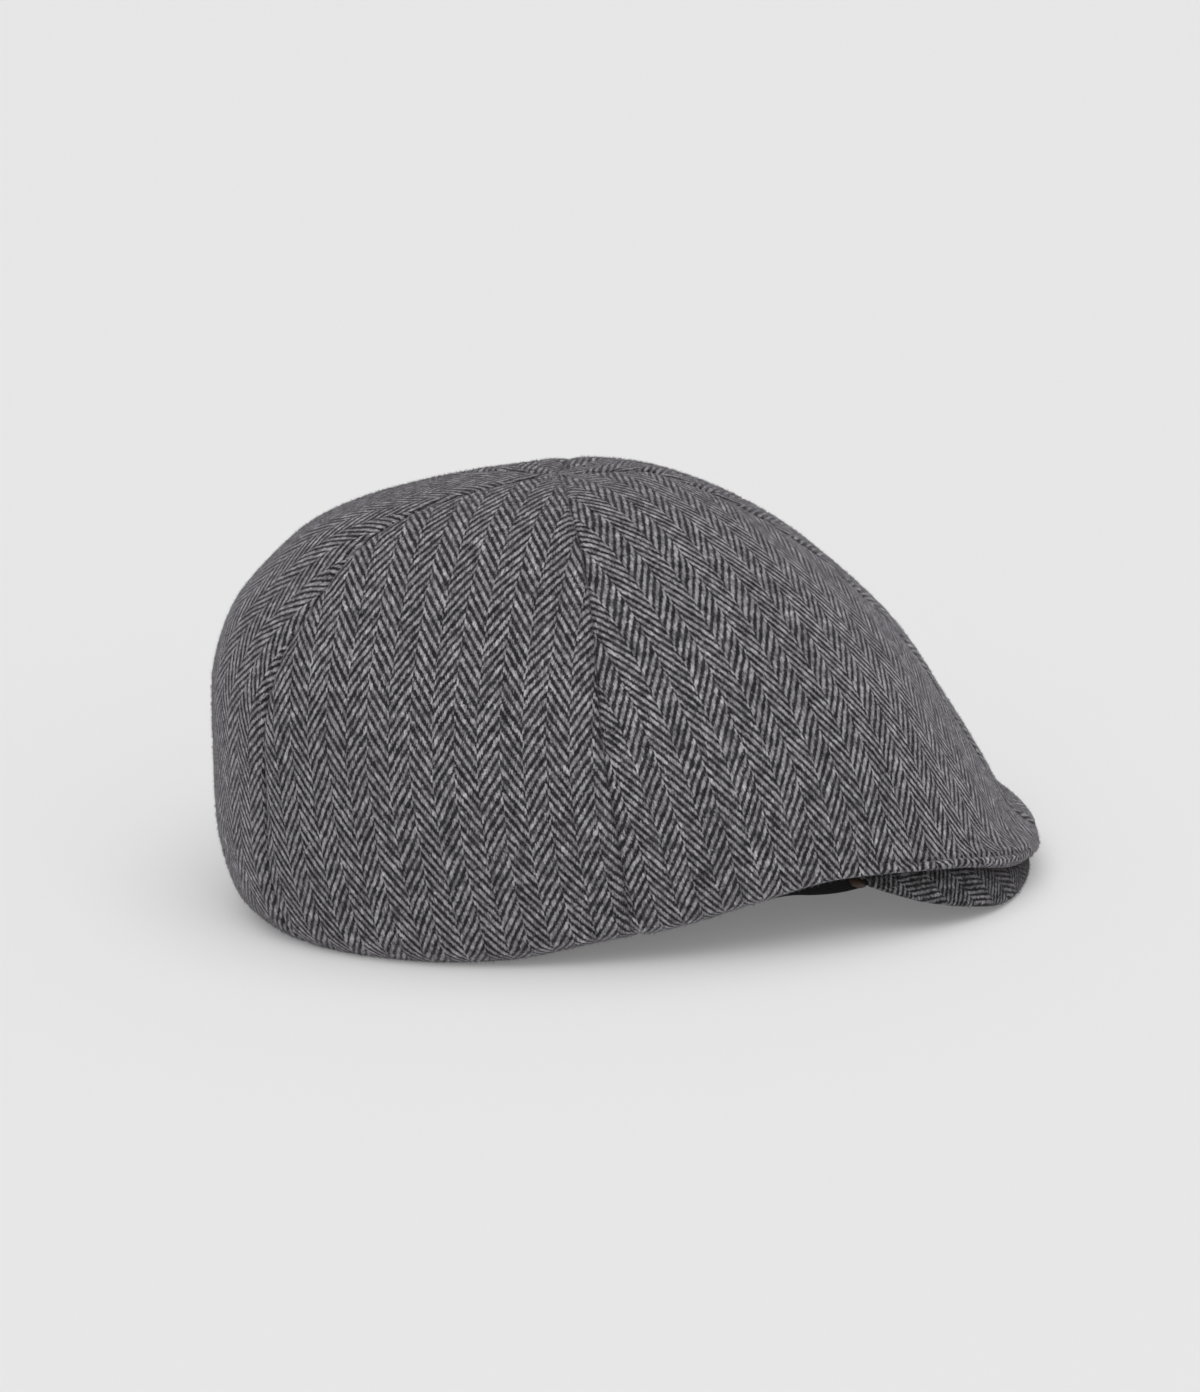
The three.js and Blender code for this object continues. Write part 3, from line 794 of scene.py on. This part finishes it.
# Control points of the peak's top line at each angle.
def peakControls(angles):
    edge = crownPoint(lastRing, angles)
    corner = crownPoint(lastRing, peak["cornerAngle"])
    rimFront = originShift - crown["frontReach"] * rimRow["front"]
    depth = (edge[:, 1] - corner[1]) / (rimFront - corner[1])
    innerY = corner[1] + depth * (originShift - peak["innerReach"] - corner[1])
    innerY += peak["cornerWidth"] * (1 - depth) * peak["cornerEase"]
    innerX = edge[:, 0] * (1 - peak["cornerWidth"] / abs(corner[0]))
    cornerHigh = corner[2] - peak["seatGap"]
    innerZ = cornerHigh + (peak["innerHeight"] - cornerHigh) * np.sqrt(np.maximum(depth, 0))
    inner = np.stack([innerX, innerY, innerZ], -1)
    seat = edge - [0, 0, peak["seatGap"]]
    outward = crownPoint(lastRing - 1, angles) - edge
    outward[:, 2] = 0
    lip = edge + unit(outward) * (peak["lipOut"] * lipReachCurve(np.abs(angles)))[:, None]
    lip[:, 2] = peak["lipHeight"] * lipHighCurve(np.abs(angles))
    middle = inner + (seat - inner) * peak["middleAlong"]
    middle[:, 2] = inner[:, 2] + (seat[:, 2] - inner[:, 2]) * peak["middleHigh"]
    return np.stack([inner, middle, seat, lip])


def peakThickness(angles):
    outward = np.abs(angles) / peak["cornerAngle"]
    return peak["thickness"] - peak["cornerThinning"] * outward ** peak["thinningPower"]


# The peak's top face, with rows from its inner edge to its lip and columns from corner to corner.
def peakTop(angles):
    curve = curveThrough(controlPlaces, peakControls(angles), level=False)
    fine = curve(np.linspace(0, controlPlaces[-1], peak["fineSteps"]))
    lengths = distanceAlong(fine)
    count = int(lengths[-1].max() / peak["step"])
    places = clusteredPlaces(lengths[-1], peak["edgeSteps"], count)
    columns = []
    for i in range(len(angles)):
        columns.append(np.stack([np.interp(places[i], lengths[:, i], fine[:, i, k]) for k in range(3)], -1))
    seats = lengths[len(fine) * 2 // 3]  # the third of the four control points
    return np.stack(columns, 1), places.T, lengths[-1], seats


def peakWeave(top):
    rows, columns, _ = top.shape
    coarseRows = np.linspace(0, rows - 1, peak["flatRows"]).round().astype(int)
    coarseColumns = np.linspace(0, columns - 1, peak["flatColumns"]).round().astype(int)
    flat = flatten(top[coarseRows][:, coarseColumns]) / millimetre
    flat[..., 0] -= flat[:, peak["flatColumns"] // 2, 0].mean()
    flat = curveThrough(coarseRows, flat, level=False)(np.arange(rows))
    flat = curveThrough(coarseColumns, flat.transpose(1, 0, 2), level=False)(np.arange(columns))
    return flat.transpose(1, 0, 2) - [peak["stripeShift"], 0]


def buildPeak(material, hair):
    angles = np.linspace(-peak["cornerAngle"], peak["cornerAngle"], peak["sections"])
    top, places, widths, seats = peakTop(angles)
    normals = unit(np.cross(np.gradient(top, axis=1), np.gradient(top, axis=0)))
    normals *= np.sign(normals[:, :, 2:3].mean())
    thickness = peakThickness(angles)[None, :]
    fromCorner = distanceAlong(top, axis=1)
    ends = np.minimum(places, widths - places)
    ends = np.minimum(ends, np.minimum(fromCorner, fromCorner[:, -1:] - fromCorner))
    close = roundIn(ends, thickness / 2, thickness / 2 * peak["edgeFullness"])
    outer = top - normals * close[..., None]
    inner = top - normals * (thickness - close)[..., None]
    restOnFloor(outer)
    restOnFloor(inner)
    body, faces = closedGrid(outer, inner)

    # The cloth turns round the lip and goes on underneath
    weave = peakWeave(top)
    under = weave * [1, -1] + [0, 2.0 * weave[-1, :, 1].mean()]
    weave = np.concatenate([weave.reshape(-1, 2), under.reshape(-1, 2)])
    # Painted shadow under the crown's edge, growing to painted light towards the lip; the underside is left
    # plain
    out = np.clip((places - seats) / peak["shadeReach"], 0, 1)
    shade = peak["paintedTuckShadow"] + (peak["paintedLipLight"] - peak["paintedTuckShadow"]) * out
    shade = np.concatenate([shade.ravel(), np.ones(shade.size)])
    piece = addPiece("peak_cloth", body, faces, material, weave, shade)
    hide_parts("peak")
    napOver("peak_nap", outer, normals, nap["onPeak"], hair)
    print("peak", len(faces), "faces")


buildPeak(herringboneFinish("peak wool", peakWool), hairMaterial)


binding = {
    "diameter": 0.0032,
    "gap": 0.0004,
    "wrapPlace": 4 / 7,  # how far along the peak's section its ends reach, round the corners
    "endDrop": 0.0020,
    "sides": 14,
    "sections": 121,
    "bendStep": 4,  # its line passes through every fourth section of the peak's inner edge
    "endSteps": 3,  # the roll closes over this many sections at its ends
    "endClosing": 0.97,
    "lumps": 0.03,
    "lumpTurn": 1.3,
    "dark": (0.015, 0.0095, 0.007, 1),
    "light": (0.062, 0.035, 0.022, 1),
    "grainScale": 1500.0,
    "grainRelief": 0.0002,
    "wearScale": 240.0,
}


def leatherFinish():
    finish = Finish("brown leather")
    place = finish.place()
    inputs = {"Vector": place, "Scale": binding["grainScale"]}
    grain = finish.node("ShaderNodeTexVoronoi", inputs, feature="DISTANCE_TO_EDGE")
    worn = finish.noise(place, binding["wearScale"], detail=3.0)
    finish.put(
        Base_Color=finish.mix(worn, binding["dark"], binding["light"]),
        Roughness=finish.calc("MULTIPLY_ADD", worn, 0.25, 0.42),
        Normal=finish.bump(grain, binding["grainRelief"], 0.6),
    )
    return finish.material


# The roll's centre line, along the peak's inner edge and round its corners.
def bindingLine():
    angles = np.linspace(-peak["cornerAngle"], peak["cornerAngle"], binding["sections"])
    controls = peakControls(angles)
    halfThickness = peakThickness(angles)[:, None] / 2 * np.array([0, 0, 1.0])
    clear = binding["diameter"] / 2 + binding["gap"]
    innerEdge = controls[0] - halfThickness
    edge = innerEdge + unit(controls[0] - controls[1]) * clear
    wrap = curveThrough(controlPlaces, controls, level=False)(controlPlaces[-1] * binding["wrapPlace"])
    wrap = wrap - halfThickness
    drop = np.array([0, 0, binding["endDrop"]])
    turned = []
    for end in (0, -1):
        inwards = unit((innerEdge[end] - wrap[end]) * [1, 1, 0])
        rearward = np.array([-inwards[1], inwards[0], 0]) * np.sign(inwards[0])
        corner = innerEdge[end] + (inwards + rearward) * clear - drop / 2
        turned.append((corner, wrap[end] + rearward * clear - drop))
    step = binding["bendStep"]
    bends = np.array([turned[0][1], turned[0][0], *edge[step:-step:step], turned[1][0], turned[1][1]])
    reach = distanceAlong(bends)
    return curveThrough(reach, bends, level=False)(np.linspace(0, reach[-1], binding["sections"]))


def buildBinding():
    centres = bindingLine()
    along = unit(np.gradient(centres, axis=0))
    aside = unit(np.cross(along, [0, 0, 1.0]))
    above = np.cross(aside, along)
    number = np.arange(len(centres))
    cap = np.clip(number / binding["endSteps"], 0, 1)
    cap = np.minimum(cap, cap[::-1])
    radius = binding["diameter"] / 2 * np.sqrt(1 - (1 - cap) ** 2 * binding["endClosing"])
    radius *= 1 + binding["lumps"] * np.sin(number * binding["lumpTurn"])
    turn = np.linspace(0, 2 * math.pi, binding["sides"], endpoint=False)[None, :, None]
    around = aside[:, None] * np.cos(turn) + above[:, None] * np.sin(turn)
    rings = centres[:, None] + radius[:, None, None] * around
    index = np.arange(rings.shape[0] * rings.shape[1]).reshape(rings.shape[:2])
    beside = np.roll(index, -1, axis=1)
    quads = np.stack([index[:-1], index[1:], beside[1:], beside[:-1]], -1).reshape(-1, 4).tolist()
    faces = quads + [index[0].tolist(), index[-1][::-1].tolist()]
    points = rings.reshape(-1, 3)
    piece = addPiece("peak_binding_leather", points, faces, leatherFinish())
    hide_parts("peak_binding")
    print("binding", len(faces), "faces")


buildBinding()


band = {
    "height": 0.028,
    "thickness": 0.0012,
    "gap": 0.0004,
    "fullness": 2.6,
    "ease": 0.001,
    "drop": 0.0093,  # how far it hangs below the rim beside the peak
    "hang": (15, 85),  # the angles between which it hangs
    "frontAngle": 62,  # in front of this angle its lower edge is level
    "seamRoom": 0.0011,  # left for the crown's seams, which pull in
    "lift": 0.001,
    "edgeFullness": 0.95,
    "edgeSteps": (0, 0.0002, 0.0006, 0.0012),
    "rows": 12,
    "sections": 220,
    "dark": (0.002, 0.002, 0.0025, 1),
    "light": (0.014, 0.0135, 0.015, 1),
    "ribScale": 420.0,
    "lintScale": 1800.0,
    "relief": 0.0002,
}


def bandFinish():
    finish = Finish("black band cloth")
    place = finish.place()
    inputs = {"Vector": place, "Scale": band["ribScale"], "Distortion": 1.2, "Detail": 1.0}
    rib = finish.node("ShaderNodeTexWave", inputs, output=1, wave_type="BANDS", bands_direction="Z")
    lint = finish.noise(place, band["lintScale"], detail=3.0)
    finish.put(
        Base_Color=finish.mix(lint, band["dark"], band["light"]),
        Roughness=0.85,
        Normal=finish.bump(finish.calc("ADD", rib, lint), band["relief"], 0.6),
        Sheen_Weight=0.04,
        Specular_IOR_Level=0.12,
    )
    return finish.material


# The faces between two loops of points, or between two stacks of loops.
def loopQuads(one, two):
    quads = np.stack([one, two, np.roll(two, -1, axis=-1), np.roll(one, -1, axis=-1)], -1)
    return quads.reshape(-1, 4)


def buildBand():
    angles = np.linspace(0, 360, band["sections"], endpoint=False)
    folded = foldAngle(angles)
    arch = crown["archHeight"] * archCurve(np.maximum(folded, band["frontAngle"]))
    start, end = band["hang"]
    hang = band["drop"] * np.sin(np.pi * np.clip((folded - start) / (end - start), 0, 1))
    foot = arch - hang + band["lift"]
    edge = np.array(band["edgeSteps"])
    inside = np.linspace(edge[-1], band["height"] - edge[-1], band["rows"])
    ups = np.concatenate([edge[:-1], inside, band["height"] - edge[-2::-1]])
    half = band["thickness"] / 2
    close = roundIn(np.minimum(ups, band["height"] - ups), half, half * band["edgeFullness"])

    # It passes behind the binding in front and under the crown's wall elsewhere
    innerEdge = originShift - peakControls(np.zeros(1))[0, 0, 1]
    front = innerEdge - 2 * binding["gap"] - binding["diameter"] - band["thickness"] - band["ease"]
    room = crown["wall"] + band["gap"] + band["seamRoom"] + band["thickness"]
    rear = rimRow["rear"] * crown["rearReach"] - room
    side = rimRow["side"] * crown["halfWidth"] - room
    widest = rimRow["widest"] * crown["frontReach"]
    outer = []
    inner = []
    for up, tuck in zip(ups, close):
        for wall, stand in ((outer, band["thickness"] - tuck), (inner, tuck)):
            reaches = (front + stand, rear + stand, side + stand)
            wall.append(ovalPoint(angles, *reaches, widest, band["fullness"], foot + up))
    body = np.concatenate([np.concatenate(outer), np.concatenate(inner)])
    face = np.arange(len(ups) * len(angles)).reshape(len(ups), len(angles))
    back = face + face.size
    faces = np.concatenate([
        loopQuads(face[1:], face[:-1]),
        loopQuads(back[:-1], back[1:]),
        loopQuads(face[0], back[0]),
        loopQuads(back[-1], face[-1]),
    ])
    piece = addPiece("sweatband_cloth", body, faces, bandFinish())
    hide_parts("sweatband")
    print("sweatband", len(faces), "faces")


buildBand()


studio = {
    "floorTone": 0.725,
    "floorGlow": 0.16,  # keeps the shadow under the cap as soft as a studio's
    "floorReach": 6.0,
    "floorDrop": 0.0001,
    "skyTone": 0.98,
    "skyStrength": 0.30,
    "aim": (0, 0, 0.05),
    "lamps": (
        {"name": "overhead", "place": (-0.4, 0.1, 1.9), "spread": 75, "power": 1.45},
        {"name": "camera side", "place": (-1.6, -0.3, 0.95), "spread": 80, "power": 0.92},
    ),
}


def setFloor():
    reach = studio["floorReach"]
    corners = [(-reach, -reach, 0), (reach, -reach, 0), (reach, reach, 0), (-reach, reach, 0)]
    mesh = bpy.data.meshes.new("floor")
    mesh.from_pydata(corners, [], [(0, 1, 2, 3)])
    floor = bpy.data.objects.new("floor", mesh)
    bpy.context.scene.collection.objects.link(floor)
    floor.location.z = -studio["floorDrop"]
    finish = Finish("pale floor")
    finish.put(Base_Color=(studio["floorTone"],) * 3 + (1,), Roughness=0.9, Specular_IOR_Level=0.2)
    finish.put(Emission_Color=(1, 1, 1, 1), Emission_Strength=studio["floorGlow"])
    mesh.materials.append(finish.material)


def setLights():
    world = bpy.data.worlds.new("studio")
    world.use_nodes = True
    sky = world.node_tree.nodes["Background"]
    sky.inputs["Color"].default_value = (studio["skyTone"],) * 3 + (1,)
    sky.inputs["Strength"].default_value = studio["skyStrength"]
    bpy.context.scene.world = world
    for lamp in studio["lamps"]:
        light = bpy.data.lights.new(lamp["name"], "SUN")
        light.angle = math.radians(lamp["spread"])
        light.energy = lamp["power"]
        holder = bpy.data.objects.new(lamp["name"], light)
        holder.location = lamp["place"]
        aim = Vector(studio["aim"]) - holder.location
        holder.rotation_euler = aim.to_track_quat("-Z", "Y").to_euler()
        bpy.context.scene.collection.objects.link(holder)
    bpy.context.scene.view_settings.view_transform = "Standard"


view = {
    "turn": -89.0,
    "rise": 16.0,
    "roll": -3.0,
    "distance": 1.400,
    "lens": 113.15,
    "sensor": 36.0,
    "apexLeft": 0.01356,  # the apex lies this far left of the picture's middle, and this far above it
    "apexAbove": 0.07170,
}


def setCamera():
    turn = math.radians(view["turn"])
    rise = math.radians(view["rise"])
    roll = math.radians(view["roll"])
    back = Vector((math.sin(turn) * math.cos(rise), -math.cos(turn) * math.cos(rise), math.sin(rise)))
    right = (-back).cross(Vector((0, 0, 1))).normalized()
    up = right.cross(-back)
    rolledRight = right * math.cos(roll) + up * math.sin(roll)
    rolledUp = up * math.cos(roll) - right * math.sin(roll)
    apex = Vector((0, originShift, crown["apexHeight"]))
    place = apex + rolledRight * view["apexLeft"] - rolledUp * view["apexAbove"] + back * view["distance"]
    camera = bpy.data.cameras.new("camera")
    camera.lens = view["lens"]
    camera.sensor_width = view["sensor"]
    holder = bpy.data.objects.new("camera", camera)
    axes = Matrix((rolledRight, rolledUp, back)).transposed()
    holder.matrix_world = Matrix.Translation(place) @ axes.to_4x4()
    bpy.context.scene.collection.objects.link(holder)
    bpy.context.scene.camera = holder


setFloor()
setLights()
setCamera()
print("floor, lights and camera set")
